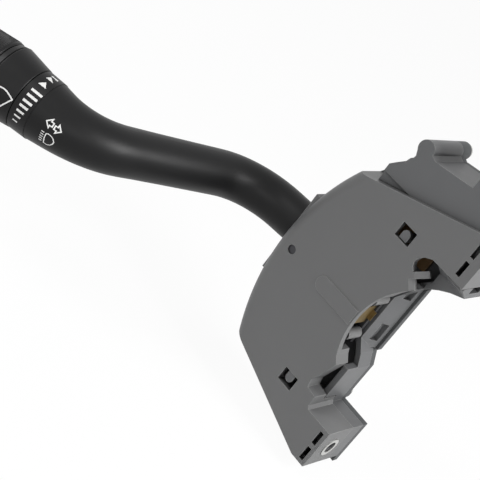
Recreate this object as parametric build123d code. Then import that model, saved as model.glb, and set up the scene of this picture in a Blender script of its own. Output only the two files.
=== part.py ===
from build123d import *
import math
import os

# Steering-column hazard and turn-signal switch with its lever, in millimetres.
# X runs along the two legs towards the open side, and Z is up as installed.
# Y runs down the steering column, away from the driver.
# The origin lies on the column axis, in the plane of the cover's outer face.

# Clearances and walls
wall = 2.2
pin_clearance = 0.05
running_gap = 0.3
through = 60.0

# Column arc and the two legs
column_radius = 33.0
lower_leg_end = -12.7
upper_leg_end = -10.7
leg_stand = 4.5
leg_inner = column_radius + leg_stand
leg_height = 17.1
leg_outer = leg_inner + leg_height
leg_shoulder = -19.0

# Cancelling pawl beside the column
cover_plate = 2.5
pawl_stand = 5.0
pawl_x = -(column_radius + pawl_stand)
pawl_pin_radius = 1.5
pawl_hub = 3.4
pawl_bar_half = 1.6
pawl_reach = 4.2
pawl_horn_x = pawl_x + pawl_reach
pawl_horn_z = 8.5
pawl_horn_radius = 2.2
pawl_front = cover_plate + 1.1
pawl_bar_front = pawl_front + 1.4
pawl_bar_depth = 5.0
pawl_bar_back = pawl_bar_front + pawl_bar_depth
pawl_back = pawl_bar_back + 2.2
leaf_thickness = 0.35
leaf_width = 8.0
leaf_x = pawl_x + pawl_hub + 0.02

# Detent frame behind the pawl, and the plunger that rides on it
frame_gap = 0.4
frame_length = 13.6
frame_right = -(column_radius + frame_gap)
frame_left = frame_right - frame_length
frame_half = 13.5
frame_thickness = 1.8
frame_seat = 0.5
detent_wall = 4.8
detent_right = frame_left + detent_wall
detent_back = 3.4
detent_gap = 0.15
detent_notch = 1.2
plunger_radius = 2.0
plunger_length = 7.0
plunger_tip = detent_right - detent_back

# Turn pivot and carrier
turn_angle = 8.0
plunger_proud = 2.4
carrier_right = plunger_tip - plunger_proud
carrier_length = 20.0
pivot_x = carrier_right - carrier_length
pivot_radius = 1.7
pin_recess = 0.6
carrier_neck = 4.0
carrier_block_left = pivot_x + carrier_neck
carrier_front = cover_plate + 0.7
carrier_boss = 4.5
carrier_boss_back = carrier_front + 4.9
carrier_block_back = carrier_front + 7.3
carrier_half = 7.0
carrier_arm = 2.1
cheek = 3.2
cheek_left = pivot_x + 2.0
cheek_length = 14.0
cheek_right = cheek_left + cheek_length
plunger_y = carrier_front + 3.8

# Lever root and its pull pivot
axis_z = 1.5
tongue_half = 6.5
pull_room = 2.5
tongue_y = carrier_block_back + pull_room + tongue_half
tongue_right = carrier_right - 2.0
pull_stand = 8.0
dimmer_x = pivot_x + pull_stand
dimmer_radius = 2.0
finger_y = tongue_y + 2.5
finger_radius = 1.4
carrier_rear = tongue_y + tongue_half + 1.8

# Cover flank with the mouth that the lever comes out of
pivot_margin = 7.4
flank_radius = pivot_margin - pivot_x
rim_step = 1.6
cover_outer_radius = flank_radius + rim_step
flank_round = 4.5
shoulder_x = 8.5 - flank_radius
shoulder_z = leg_inner + 1.1
mouth_proud = 0.3
mouth_face = -(flank_radius + mouth_proud)
mouth_half = 11.0
mouth_low = axis_z - mouth_half
mouth_high = axis_z + mouth_half
mouth_face_low = mouth_low - 6.3
mouth_face_high = mouth_high + 7.2
mouth_front = tongue_y - 13.3
mouth_back = tongue_y + 8.9

# Stalk and its two bends
collar_radius = 7.0
collar_length = 3.0
stalk_start = (mouth_face + 1.1, tongue_y - 1.1, axis_z)
tongue_left = stalk_start[0] + collar_length - 0.7
first_bend = (stalk_start[0] - 30.0, 13.1, 0.6)
second_bend = (first_bend[0] - 23.0, -57.3, -3.4)
ring_base = (second_bend[0] - 17.3, -62.5, -4.3)
first_bend_radius = 28.0
second_bend_radius = 28.0
stalk_bore = 4.0
spigot_length = 13.0
stalk_sections = 24
stalk_exit_radius = 8.45
stalk_taper = 0.65
stalk_flare = 2.4
stalk_flare_power = 8

# Ring, knob and washer button along the knob's axis
ring_length = 7.0
ring_radius = 11.9
knob_gap = 0.35
knob_start_radius = 12.1
knob_wide_radius = 13.9
knob_flare = 11.0
knob_bevel = 2.5
knob_step_radius = 13.2
knob_wall = 2.0
spindle_radius = 5.5
spindle_bore = 3.2
spindle_sink = 8.0
spindle_top = ring_length + knob_gap + knob_flare + knob_bevel + 3.15
grip_gap = 0.3
grip_start_radius = 13.5
grip_end_radius = 11.8
grip_length = 19.0
grip_round = 2.5
rib_count = 44
rib_height = 0.4
neck_radius = 9.5
neck_length = 2.5
washer_radius = 6.5
washer_show = 2.4
washer_cup = 4.0
washer_flange = 1.3
wafer_radius = 9.6
wafer_thickness = 1.4
rotor_thickness = 1.6

# Depths of the cover, the housing and the rear plate
inner_wall_front = pawl_back + frame_seat + frame_thickness + frame_seat
cover_depth = inner_wall_front + 1.5
housing_depth = 7.0
housing_back = cover_depth + housing_depth
floor_thickness = 1.7
plate_thickness = 3.0
bay_back = carrier_rear + carrier_arm + 0.4 + wall
bay_margin = 15.5
bay_half = leg_inner - bay_margin
bay_right = -(column_radius + 5.0)

# Pockets beside the column arc
arc_foot = 14.5
arc_crown = 23.4
arc_open_half = 13.0
arc_rim_depth = 8.0
pocket_left = 2.0 - column_radius
pocket_width = 5.4
pocket_right = pocket_left + pocket_width
pocket_near = arc_foot + 2.7
pocket_far = leg_inner - 5.9

# Snap windows, end slots and the raised track on the cover
window_right = -(column_radius + 1.8)
window_length = 6.6
window_left = window_right - window_length
window_near = leg_inner - 4.7
window_far = window_near + 5.7
tab_width = 3.4
tab_reach = 3.9
tab_thickness = 1.6
tab_recess = 0.6
slot_inset = 3.3
slot_width = 1.8
slot_length = 6.0
slot_near = leg_inner + 1.7
slot_gap = 1.9
upper_slot_inset = 5.3
upper_slot_near = leg_inner + 1.2
track_left = -(column_radius + 17.0)
track_half = 3.2
track_height = 0.35

# Housing rim, platform and the column-side wall
boss_z = leg_outer + 6.5
boss_x = 22.8 - flank_radius
rim_end_z = leg_outer - 1.1
rim_middle_z = shoulder_z + 7.9
platform_edge = leg_outer - 9.3
platform_left = boss_x - 7.4
platform_step = 1.0
ledge_left_z = leg_outer + 5.7
ledge_right_z = leg_outer + 8.4
inner_flat = 1.0 - column_radius
inner_flat_half = 10.0
inner_lip_back = inner_flat + 4.8
lip_high = 17.5
lip_drop = 2.9
lip_slot_length = 8.0
lip_slot_width = 3.6
inner_side_top = 19.5
inner_side_front = 8.2
arch_top = math.sqrt(column_radius ** 2 - upper_leg_end ** 2)
upper_inner = leg_inner - 6.2
upper_inner_front = 9.0
wedge_left = pocket_right + 2.6
ridge_width = 2.4
ridge_foot = leg_inner - 11.3

# Hazard tower and its button
button_width = 14.0
button_depth = 12.0
button_show = 6.5
button_flange = 1.2
button_travel = 4.5
tower_room = 1.05
tower_left = upper_leg_end - button_width - 2 * (wall + tower_room)
tower_height = 27.4
tower_top = leg_outer + tower_height
hazard_y = cover_plate + 10.3
stem_width = 9.0
stem_depth = 7.0
stem_bore = 2.6
stem_foot = tower_top - 20.9
seat_z = tower_top - 25.5
seat_thickness = 2.0
guide_z = tower_top - 13.0

# Threaded inserts for the column bracket, and the housing screws
insert_radius = 4.1
insert_bore = 2.6
insert_length = 14.0
insert_proud = 0.3
insert_boss = insert_radius + 1.5
insert_floor = 1.5
rib_half = 1.0
lower_insert_y = cover_plate + 7.0
lower_insert_z = -(leg_inner + 8.8)
upper_insert_y = cover_plate + 9.5
upper_insert_z = leg_inner + 13.4
screw_radius = 1.5
screw_head = 2.8
screw_head_height = 1.8
screw_length = 16.0
screw_boss = 3.3
rear_boss_height = 3.5
post_x = 12.9 - flank_radius
post_points = [
    (post_x, leg_inner - 4.0), (post_x, 4.0 - leg_inner), (pocket_right - 3.9, 0.5 - leg_inner),
]

# Dimmer slide
slide_left = frame_left - 1.6
slide_length = 6.4
slide_right = slide_left + slide_length
slide_front = finger_y - 4.6
slide_back = finger_y + 2.6
slot_half_swing = 5.1
slide_low = axis_z - 9.0
slide_high = axis_z + 9.0
finger_end = slide_left + 2.6
guide_thickness = 1.8

# Contact boards, connectors and springs
board_front = housing_back - floor_thickness - 1.8
board_thickness = 1.7
turn_board_near = bay_half + 0.4
turn_board_far = leg_inner + 4.0
turn_board_left = pivot_x + 3.0
turn_board_right = 1.5 - column_radius
contact_arm_end = turn_board_near + 2.6
hazard_board_low = tower_top - 33.5
hazard_board_high = tower_top - 12.0
contact_height = 0.3
dimmer_board_left = slide_left - 1.4
dimmer_board_right = slide_right + 1.2
dimmer_contact_height = 1.4
connector_depth = 15.0
connector_wall = 1.8
signal_size = (27.0, 13.0)
signal_middle = (-(column_radius + 11.8), leg_inner - 3.7)
wiper_size = (21.0, 12.0)
wiper_middle = (pivot_x + 10.5, 0.0)
terminal_width = 0.8
terminal_pitch = 3.8
terminal_gap = 0.15
terminal_reach = 8.0
wire_radius = 0.3


def slab(face, y0, y1):
    """A face drawn in X and Z, as a slab between two depths."""
    return extrude(Plane.XZ.offset(-y0) * face, amount=y1 - y0, dir=(0, 1, 0))


def block(x0, x1, y0, y1, z0, z1):
    middle = ((x0 + x1) / 2, (y0 + y1) / 2, (z0 + z1) / 2)
    return Pos(*middle) * Box(abs(x1 - x0), abs(y1 - y0), abs(z1 - z0))


def rod_x(y, z, radius, x0, x1):
    return extrude(Plane.YZ.offset(x0) * Pos(y, z) * Circle(radius), amount=x1 - x0)


def rod_y(x, z, radius, y0, y1):
    return slab(Pos(x, z) * Circle(radius), y0, y1)


def rod_z(x, y, radius, z0, z1):
    return extrude(Plane.XY.offset(z0) * Pos(x, y) * Circle(radius), amount=z1 - z0)


def lathe(points):
    """A closed outline of radius and height pairs, turned about Z."""
    face = make_face(Polyline(*[(r, h) for r, h in points], close=True))
    return revolve(Plane.XZ * face, axis=Axis.Z)


def polygon(points):
    return make_face(Polyline(*points, close=True))


def on_circle(radius, z):
    """The point left of the column axis at height z on a circle about it."""
    return (-math.sqrt(radius**2 - z**2), z)


def coil(radius, length, turns):
    """A round-wire compression spring standing on the XY plane."""
    lift = wire_radius
    path = Helix(pitch=(length - 2 * lift) / turns, height=length - 2 * lift, radius=radius)
    return Pos(0, 0, lift) * sweep(Plane(path @ 0, z_dir=path % 0) * Circle(wire_radius), path=path)


def shoulder(sign):
    return (shoulder_x, shoulder_z * sign)


def flank_arc(z0, z1):
    """The cover's long left side, from the lower shoulder to the upper one."""
    return ThreePointArc(shoulder(z0), (-flank_radius, 0), shoulder(z1))


def cover_outline():
    """The C-shaped outline of the cover, seen from the driver."""
    foot = on_circle(column_radius, -arc_foot)
    crown = on_circle(column_radius, arc_crown)
    lower = Polyline(
        foot, (pocket_right - 1.8, -pocket_near), (pocket_left, -pocket_far + 3.0),
        (pocket_left + 0.6, -pocket_far), (pocket_right - 0.2, -pocket_far - 0.6),
        (pocket_right, -leg_inner + 1.2), (pocket_right + 1.0, -leg_inner),
        (lower_leg_end, -leg_inner), (lower_leg_end, -leg_outer), (leg_shoulder, -leg_outer), shoulder(-1),
    )
    upper = Polyline(
        shoulder(1), (leg_shoulder, leg_outer), (upper_leg_end, leg_outer),
        (upper_leg_end, leg_inner - 1.0), (pocket_right + 0.7, leg_inner - 1.1),
        (pocket_right - 2.0, leg_inner - 2.6), (pocket_right - 3.6, leg_inner - 4.6),
        (pocket_right - 4.0, leg_inner - 6.4), (pocket_right - 3.3, leg_inner - 7.9),
        (pocket_right - 0.3, ridge_foot + 0.3), (pocket_right + 1.0, arc_crown + 1.5), crown,
    )
    arc = ThreePointArc(crown, (-column_radius, 0), foot)
    return make_face([lower, flank_arc(-1, 1), upper, arc])


def inner_profile():
    """The housing's edge on the column side, from the lower leg's end to the upper one's."""
    return [
        (lower_leg_end, -leg_inner), (pocket_right, -leg_inner), (pocket_right, -inner_side_top),
        (pocket_right - 2.6, -arc_foot), (inner_flat, -inner_flat_half), (inner_flat, inner_flat_half),
        *[on_circle(column_radius, lip_high + (arch_top - lip_high) * step / 6) for step in range(6)],
        (upper_leg_end, arch_top),
    ]


def housing_outline():
    """The housing seen from the driver, with the platform, the screw boss and the tower."""
    rim_end = on_circle(cover_outer_radius, rim_end_z)
    rim_middle = on_circle(cover_outer_radius, rim_middle_z)
    start = Polyline(
        *inner_profile(), (upper_leg_end, tower_top), (tower_left, tower_top),
        (tower_left, ledge_right_z), (boss_x + screw_boss + 2.2, ledge_left_z), rim_end,
    )
    rim = ThreePointArc(rim_end, rim_middle, shoulder(1))
    close = Polyline(
        shoulder(-1), (leg_shoulder, -leg_outer), (lower_leg_end, -leg_outer), (lower_leg_end, -leg_inner),
    )
    return make_face([start, rim, flank_arc(1, -1), close]) + boss_face(screw_boss)


def boss_face(radius):
    """The screw boss at the top with its root blended into the rim."""
    root = polygon([
        on_circle(cover_outer_radius, rim_end_z - 0.3), (boss_x - radius + 0.8, boss_z - 6.1),
        (boss_x - radius + 1.6, boss_z - 5.2), (boss_x - radius + 1.8, boss_z - 4.2),
        (boss_x - radius + 0.8, boss_z - 2.1), (boss_x, boss_z), (boss_x + radius, boss_z),
        (boss_x + radius + 2.2, ledge_left_z - 0.2), (boss_x + radius, boss_z - 8.0),
    ])
    return root + Pos(boss_x, boss_z) * Circle(radius)


def zone(x0, x1, z0, z1):
    return Pos((x0 + x1) / 2, (z0 + z1) / 2) * Rectangle(abs(x1 - x0), abs(z1 - z0))


def mouth_cut():
    """The opening that the lever comes out of."""
    return block(mouth_face - 2, mouth_face + wall + 1.6, mouth_front, mouth_back, mouth_low, mouth_high)


def cover_cavity():
    """Everything taken out behind the cover's front plate."""
    outline = cover_outline()
    cavity = slab(offset(outline, amount=-wall), cover_plate, cover_depth)
    cavity += block(platform_left, 0, cover_plate, cover_depth, platform_edge, leg_outer + 1)
    ring = rod_y(0, 0, column_radius + wall + 0.2, cover_plate, cover_depth)
    cavity += ring & block(-cover_outer_radius, 0, cover_plate, cover_depth, -arc_open_half, arc_open_half)
    cavity += block(pocket_left - wall - 1, pocket_right + 0.9, arc_rim_depth, cover_depth,
                    -pocket_far - 3, 0)
    cavity += rod_y(0, 0, column_radius + wall + 0.2, arc_rim_depth, cover_depth) & block(
        -cover_outer_radius, 0, arc_rim_depth, cover_depth, 0, arc_crown + 3)
    cavity += block(pocket_right - 7, 0, cover_plate, cover_depth, arc_crown - 1.5, leg_inner - 1.6)
    return cavity


def ridge_plane():
    """The side of the ridge that parts the two hollows beside the upper leg."""
    return Plane((pocket_right - 0.6, 0, ridge_foot), x_dir=(1, 0, 1), z_dir=(-1, 0, 1))


def cover_ridge():
    """The sloping ridge between the two hollows."""
    side = polygon([(-1.5, 0), (1.0, 0), (5.6, 2.0), (5.6, 3.2), (-1.5, cover_plate)])
    return extrude(ridge_plane() * side, amount=ridge_width)


def cover_dip():
    """The sloping hollow below that ridge."""
    side = polygon([(-1.6, -0.1), (2.8, -0.1), (2.8, 2.0), (0.4, 1.5)])
    return extrude(ridge_plane() * side, amount=-4.0)


def window_cuts(sign):
    low, high = sorted((window_near * sign, window_far * sign))
    cuts = block(window_left, window_right, -1, cover_plate + 1, low, high)
    left, first = lower_leg_end - slot_inset, slot_near
    if sign > 0:
        left, first = upper_leg_end - upper_slot_inset, upper_slot_near
    for index in range(2):
        near = first + index * (slot_length + slot_gap)
        z_low, z_high = sorted((near * sign, (near + slot_length) * sign))
        cuts += block(left, left + slot_width, -1, cover_plate, z_low, z_high)
    return cuts


def make_front_cover():
    body = slab(cover_outline(), 0, cover_depth)
    flank = body.faces().sort_by(Axis.Y)[0].edges().sort_by(Axis.X)[0]
    body = fillet(flank, flank_round)
    body += block(mouth_face, mouth_face + wall, flank_round + 0.5, cover_depth, mouth_face_low,
                  mouth_face_high)
    body -= cover_cavity()
    for x, z in post_points:
        body += rod_y(x, z, screw_boss, cover_plate - 0.1, cover_depth)
        body -= rod_y(x, z, screw_radius, cover_plate + 1.5, cover_depth)
    boss_end = lower_leg_end - insert_length - insert_floor
    body += rod_x(lower_insert_y, lower_insert_z, insert_boss, boss_end, lower_leg_end - 0.1)
    body += block(boss_end, lower_leg_end - 1, cover_plate - 0.1, lower_insert_y - insert_radius - 0.5,
                  lower_insert_z - rib_half, lower_insert_z + rib_half)
    body -= rod_x(lower_insert_y, lower_insert_z, insert_radius, lower_leg_end - insert_length,
                  lower_leg_end + 1)
    body -= window_cuts(1)
    body -= window_cuts(-1)
    body -= rod_y(pivot_x, 0, pivot_radius + pin_clearance, -1, cover_plate + 1)
    body -= mouth_cut()
    body -= cover_dip()
    body += cover_ridge()
    track = zone(track_left, -column_radius - 0.6, -track_half, track_half)
    track += Pos(track_left, 0) * Circle(track_half)
    body += slab(track, -track_height, 0.1)
    return body


def snap_tab(sign):
    """A hook that comes forward through one snap window of the cover."""
    middle = (window_left + window_right) / 2
    root = (window_near + 0.3) * sign
    tip = (window_near + 0.3 + tab_reach - tab_width / 2) * sign
    low, high = sorted((root, tip))
    head = zone(middle - tab_width / 2, middle + tab_width / 2, low, high)
    head += Pos(middle, tip) * Circle(tab_width / 2)
    hook = slab(head, tab_recess, tab_recess + tab_thickness)
    low, high = sorted((root, root + 1.4 * sign))
    half = tab_width / 2
    return hook + block(middle - half, middle + half, tab_recess, housing_back - 0.5, low, high)


def platform_face():
    """The raised part of the housing above the cover, without the tower's cavity."""
    band = zone(platform_left, 0, platform_edge, tower_top + 10)
    return housing_outline() & band


def housing_cavity():
    """The hollow inside the housing, open to the cover."""
    outline = housing_outline()
    floor = housing_back - floor_thickness
    low = slab(offset(outline, amount=-wall, kind=Kind.INTERSECTION), cover_depth - 1, floor)
    high = slab(offset(platform_face(), amount=-wall, kind=Kind.INTERSECTION), cover_plate + wall, floor)
    return low + high


def platform_shelf():
    """The lower step between the platform and the cover's upper left edge."""
    low = housing_outline() & zone(platform_left, boss_x + 12, shoulder_z, platform_edge + 0.5)
    low -= offset(cover_outline(), amount=2 * pin_clearance)
    front = cover_plate + platform_step
    shelf = slab(low, front, front + wall)
    side = low & zone(platform_left, platform_left + wall, shoulder_z, platform_edge + 0.5)
    return shelf + slab(side, front, cover_depth + 0.1)


def inner_wall_strips():
    """Parts of the column-side wall that stand forward of the housing's seam."""
    outline = housing_outline()
    split = inner_flat + 8
    strip = outline - offset(outline, amount=-wall, kind=Kind.INTERSECTION)
    middle = strip & zone(inner_flat - 8, split, -inner_side_top + 0.3, lip_high + 3)
    side = strip & zone(pocket_right - wall - 0.4, pocket_right + 0.1, -pocket_far - 2.4,
                        -inner_side_top + 0.3)
    upper = strip & zone(split, upper_leg_end, lip_high, upper_inner + wall)
    parts = slab(middle, inner_wall_front, cover_depth)
    parts += slab(side, inner_side_front, cover_depth)
    parts += slab(upper, upper_inner_front, cover_depth)
    return parts


def upper_leg_wedge():
    """The slanted inner face of the upper leg, with its slot."""
    top = leg_inner - 1.3
    profile = make_face(Polyline(
        (cover_plate + 0.1, top), (cover_plate + 0.1, top - 0.8), (upper_inner_front, upper_inner),
        (upper_inner_front, top), close=True,
    ))
    wedge = extrude(Plane.YZ.offset(wedge_left) * profile, amount=upper_leg_end - wedge_left)
    slot_end = upper_leg_end - 1.6
    wedge -= block(slot_end - slot_length, slot_end, cover_plate, cover_plate + 3.0, upper_inner - 1,
                   top + 1)
    face = housing_outline() & zone(wedge_left, upper_leg_end, lip_high, upper_inner + 1)
    return wedge + slab(face, upper_inner_front, upper_inner_front + wall)


def middle_lip():
    """The slanted face of the column-side wall with its two slots."""
    depth = housing_back - inner_wall_front
    run = (inner_lip_back - inner_flat) * depth / (depth + plate_thickness)
    face = polygon([
        (inner_flat - 1.0, inner_wall_front), (inner_flat, inner_wall_front),
        (inner_flat + run, housing_back), (inner_flat - 1.0, housing_back),
    ])
    lip = extrude(Plane.XY.offset(-inner_flat_half - lip_drop) * face,
                  amount=lip_high + inner_flat_half + lip_drop)
    for low in (-inner_flat_half, lip_high - lip_slot_length + 1):
        lip -= block(inner_flat + 1, 0, housing_back - lip_slot_width - 1.4, housing_back - 1.4,
                     low, low + lip_slot_length)
    return lip


def bay_shell():
    """The hump on the back that holds the lever's root, and the guides of the dimmer slide."""
    shell = block(mouth_face, bay_right, housing_back - 0.5, bay_back, -bay_half, bay_half)
    shell -= block(mouth_face + wall, bay_right - wall, 0, bay_back - wall, -bay_half + wall,
                   bay_half - wall)
    shell = fillet(shell.edges().filter_by(Axis.X).group_by(Axis.Y)[-1], 1.5)
    return shell


def slide_guides():
    guides = Part()
    for low in (slide_low - 0.2 - guide_thickness, slide_high + 0.2):
        guides += block(frame_left, slide_right - 0.2, inner_wall_front - 0.5, bay_back - wall + 0.1,
                        low, low + guide_thickness)
    return guides


def hazard_supports():
    """The spring seat, its peg, and the guide shelf inside the tower."""
    x0, x1 = tower_left + wall - 0.1, upper_leg_end - wall + 0.1
    y0, y1 = cover_plate + wall - 0.1, board_front - 1.2
    middle = (tower_left + upper_leg_end) / 2
    seat = block(x0, x1, y0, y1, seat_z - seat_thickness, seat_z)
    guide = block(x0, x1, y0, y1, guide_z, guide_z + seat_thickness)
    guide -= block(middle - stem_width / 2 - 0.2, middle + stem_width / 2 + 0.2,
                   hazard_y - stem_depth / 2 - 0.2, y1 + 1, guide_z - 1, guide_z + 4)
    return seat + guide


def make_main_housing():
    outline = housing_outline()
    body = slab(outline, cover_depth, housing_back)
    body += block(mouth_face, mouth_face + wall, cover_depth, housing_back, mouth_face_low, mouth_face_high)
    body += slab(platform_face(), cover_plate, cover_depth)
    body += inner_wall_strips()
    body -= housing_cavity()
    body += platform_shelf()
    body += middle_lip()
    body += upper_leg_wedge()
    body -= block(mouth_face + wall, bay_right - wall, cover_depth, housing_back + 1,
                  -bay_half + wall, bay_half - wall)
    body += bay_shell()
    body += slide_guides()
    body += hazard_supports()
    boss_end = upper_leg_end - insert_length - insert_floor
    boss = rod_x(upper_insert_y, upper_insert_z, insert_boss, boss_end, upper_leg_end - 0.1)
    body += boss & slab(platform_face(), cover_plate, housing_back)
    body += block(boss_end, upper_leg_end - 1, cover_plate + wall - 0.1,
                  upper_insert_y - insert_radius - 0.5,
                  upper_insert_z - rib_half, upper_insert_z + rib_half)
    body -= rod_x(upper_insert_y, upper_insert_z, insert_radius, upper_leg_end - insert_length,
                  upper_leg_end + 1)
    body += rod_y(boss_x, boss_z, screw_boss, cover_plate, housing_back)
    body -= rod_y(boss_x, boss_z, screw_radius, housing_back - screw_length, housing_back + 1)
    for x, z in post_points:
        body += rod_y(x, z, screw_boss, cover_depth, housing_back - 0.1)
        body -= rod_y(x, z, screw_radius + 0.15, cover_depth - 1, housing_back + 1)
    body += snap_tab(1) + snap_tab(-1)
    body -= rod_y(pivot_x, 0, pivot_radius + pin_clearance, bay_back - wall - 1, bay_back - 0.7)
    body -= mouth_cut()
    body -= button_hole()
    for cut in terminal_cuts():
        body -= cut
    return body


def button_hole():
    middle = (tower_left + upper_leg_end) / 2
    gap = running_gap
    return block(middle - button_width / 2 - gap, middle + button_width / 2 + gap,
                 hazard_y - button_depth / 2 - gap, hazard_y + button_depth / 2 + gap,
                 tower_top - wall - 1, tower_top + 1)


def rear_outline():
    """The rear plate: the housing's outline with a lip beside the column."""
    lip = zone(inner_flat - 1, inner_lip_back, -inner_flat_half - lip_drop, lip_high)
    heel = polygon([
        (lower_leg_end, -leg_outer + 4), (lower_leg_end, -leg_outer - lip_drop),
        (leg_shoulder, -leg_outer - lip_drop + 0.6), (leg_shoulder - 12, -leg_outer + 4),
    ])
    bay = zone(mouth_face - 1, bay_right + running_gap, -bay_half - running_gap, bay_half + running_gap)
    return housing_outline() + lip + heel - bay


def screw_points():
    return [(boss_x, boss_z)] + post_points


def make_rear_plate():
    back = housing_back + plate_thickness
    plate = slab(rear_outline(), housing_back, back)
    for x, z in screw_points():
        plate += rod_y(x, z, screw_boss, back - 0.1, back + rear_boss_height)
        plate -= rod_y(x, z, screw_radius + 0.2, housing_back - 1, back + rear_boss_height + 1)
    for cut in terminal_cuts():
        plate -= cut
    return plate


def make_housing_screws():
    seat = housing_back + plate_thickness + rear_boss_height
    screws = []
    for x, z in screw_points():
        head = rod_y(x, z, screw_head, seat, seat + screw_head_height)
        head -= slab(Pos(x, z) * (Rectangle(3.2, 0.8) + Rectangle(0.8, 3.2)), seat + 0.6, seat + 3)
        screws.append(head + rod_y(x, z, screw_radius - pin_clearance, seat - screw_length, seat + 0.1))
    return screws


def make_mount_inserts():
    """Threaded metal inserts that take the screws of the column bracket."""
    inserts = []
    lower = (lower_leg_end, lower_insert_y, lower_insert_z)
    upper = (upper_leg_end, upper_insert_y, upper_insert_z)
    for end, y, z in (lower, upper):
        tube = rod_x(y, z, insert_radius, end - insert_length, end + insert_proud)
        tube -= rod_x(y, z, insert_bore, end - insert_length + 1.0, end + 1)
        inserts.append(tube)
    return inserts


def make_pivot_pins():
    front = rod_y(pivot_x, 0, pivot_radius, pin_recess, carrier_boss_back - 1.5)
    back = rod_y(pivot_x, 0, pivot_radius, carrier_rear + 0.6, bay_back - 1.0)
    return [front, back]


def make_lever_carrier():
    """The yoke that turns with the lever for the turn signals."""
    body = rod_y(pivot_x, 0, carrier_boss, carrier_front, carrier_boss_back)
    body += block(pivot_x, carrier_block_left, carrier_front, carrier_boss_back, -carrier_boss, carrier_boss)
    body += block(carrier_block_left, carrier_right, carrier_front, carrier_block_back, -carrier_half,
                  carrier_half)
    low, high = axis_z - tongue_half - running_gap, axis_z + tongue_half + running_gap
    body += block(cheek_left, cheek_right, carrier_block_back - 2.5, carrier_block_back, low - cheek,
                  high + cheek)
    for side_low in (low - cheek, high):
        body += block(cheek_left, cheek_right, carrier_block_back - 0.1, carrier_rear + carrier_arm,
                      side_low, side_low + cheek)
    body += block(cheek_left, cheek_right, carrier_rear, carrier_rear + carrier_arm, low - cheek,
                  high + cheek)
    body += block(pivot_x, cheek_left, carrier_rear, carrier_rear + carrier_arm, -carrier_boss, carrier_boss)
    body += rod_y(pivot_x, 0, carrier_boss, carrier_rear, carrier_rear + carrier_arm)
    body += block(cheek_left + 4, cheek_right - 3, board_front - 5.0, board_front - 2.0,
                  high + cheek - 0.1, contact_arm_end)
    body -= rod_z(dimmer_x, tongue_y, dimmer_radius, low - cheek - 1, high + cheek + 1)
    body -= rod_x(plunger_y, 0, plunger_radius + pin_clearance, plunger_tip - plunger_length - 8,
                  carrier_right + 1)
    body -= rod_y(pivot_x, 0, pivot_radius, 0, carrier_boss_back - 1.5)
    body -= rod_y(pivot_x, 0, pivot_radius, carrier_rear + 0.6, bay_back)
    return body


def make_turn_contact():
    x0, x1 = cheek_left + 3.5, cheek_right - 2.5
    z0 = turn_board_near - 1.0
    y0 = board_front - 2.0
    bridge = block(x0, x1, y0, y0 + 0.5, z0, contact_arm_end - 0.3)
    for x in (x0 + 1.5, x1 - 1.5):
        bridge += rod_y(x, z0 + 2.4, 1.1, y0 + 0.4, y0 + 1.5)
    return bridge


def make_detent_plunger():
    straight = plunger_length - plunger_radius
    outline = make_face([
        Polyline((0, 0), (plunger_radius, 0), (plunger_radius, straight)),
        CenterArc((0, straight), plunger_radius, 0, 90),
        Line((0, plunger_length), (0, 0)),
    ])
    body = revolve(Plane.XZ * outline, axis=Axis.Z)
    return Plane(origin=(plunger_tip - plunger_length, plunger_y, 0), z_dir=(1, 0, 0)) * body


def make_detent_spring():
    start = plunger_tip - plunger_length - 7.5
    body = coil(plunger_radius - 0.6, 7.4, 7)
    return Plane(origin=(start, plunger_y, 0), z_dir=(1, 0, 0)) * body


def make_detent_frame():
    """The fixed cam wall with three notches, on the plate that carries the pawl's pin."""
    reach = plunger_tip - pivot_x + detent_gap
    base_front = inner_wall_front - frame_thickness - frame_seat
    wall_block = block(frame_left, detent_right, pawl_front, base_front + 0.2, -frame_half, frame_half)
    wall_block -= rod_y(pivot_x, 0, reach, 0, through)
    for step in (-1, 0, 1):
        angle = math.radians(step * turn_angle)
        x = pivot_x + (reach - 0.3) * math.cos(angle)
        wall_block -= rod_y(x, (reach - 0.3) * math.sin(angle), detent_notch, 0, through)
    base = block(frame_left, frame_right, base_front, inner_wall_front - frame_seat, -frame_half, frame_half)
    base -= rod_y(pawl_x, 0, pawl_pin_radius, 0, through)
    return wall_block + base


def make_cancel_pawl():
    body = rod_y(pawl_x, 0, pawl_hub, pawl_front, pawl_back)
    reach = pawl_horn_z + pawl_bar_half
    body += block(pawl_x - pawl_bar_half, pawl_x + pawl_bar_half, pawl_bar_front, pawl_bar_back, -reach,
                  reach)
    for sign in (-1, 1):
        low, high = sorted((sign * (pawl_horn_z - 1.7), sign * (pawl_horn_z + 1.6)))
        body += block(pawl_x, pawl_horn_x, pawl_bar_front, pawl_bar_back, low, high)
        body += rod_y(pawl_horn_x, sign * pawl_horn_z, pawl_horn_radius, pawl_front, pawl_back)
    return body - rod_y(pawl_x, 0, pawl_pin_radius + pin_clearance, 0, through)


def make_pawl_pin():
    return rod_y(pawl_x, 0, pawl_pin_radius, cover_plate + 0.1, inner_wall_front - frame_seat)


def make_pawl_spring():
    """A brass leaf that stands on the frame beside the pawl."""
    foot_y = inner_wall_front - frame_seat - frame_thickness
    leaf = block(leaf_x, leaf_x + leaf_thickness, pawl_bar_front + 1, foot_y, -leaf_width / 2,
                 leaf_width / 2)
    return leaf + block(leaf_x, leaf_x + 2.0, foot_y - leaf_thickness, foot_y, -leaf_width / 4,
                        leaf_width / 4)


def lever_frame():
    """A plane at the stalk's start, looking along the lever away from the housing."""
    start, corner = Vector(*stalk_start), Vector(*first_bend)
    return Plane(origin=stalk_start, x_dir=(0, 0, 1), z_dir=(corner - start).normalized())


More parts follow.
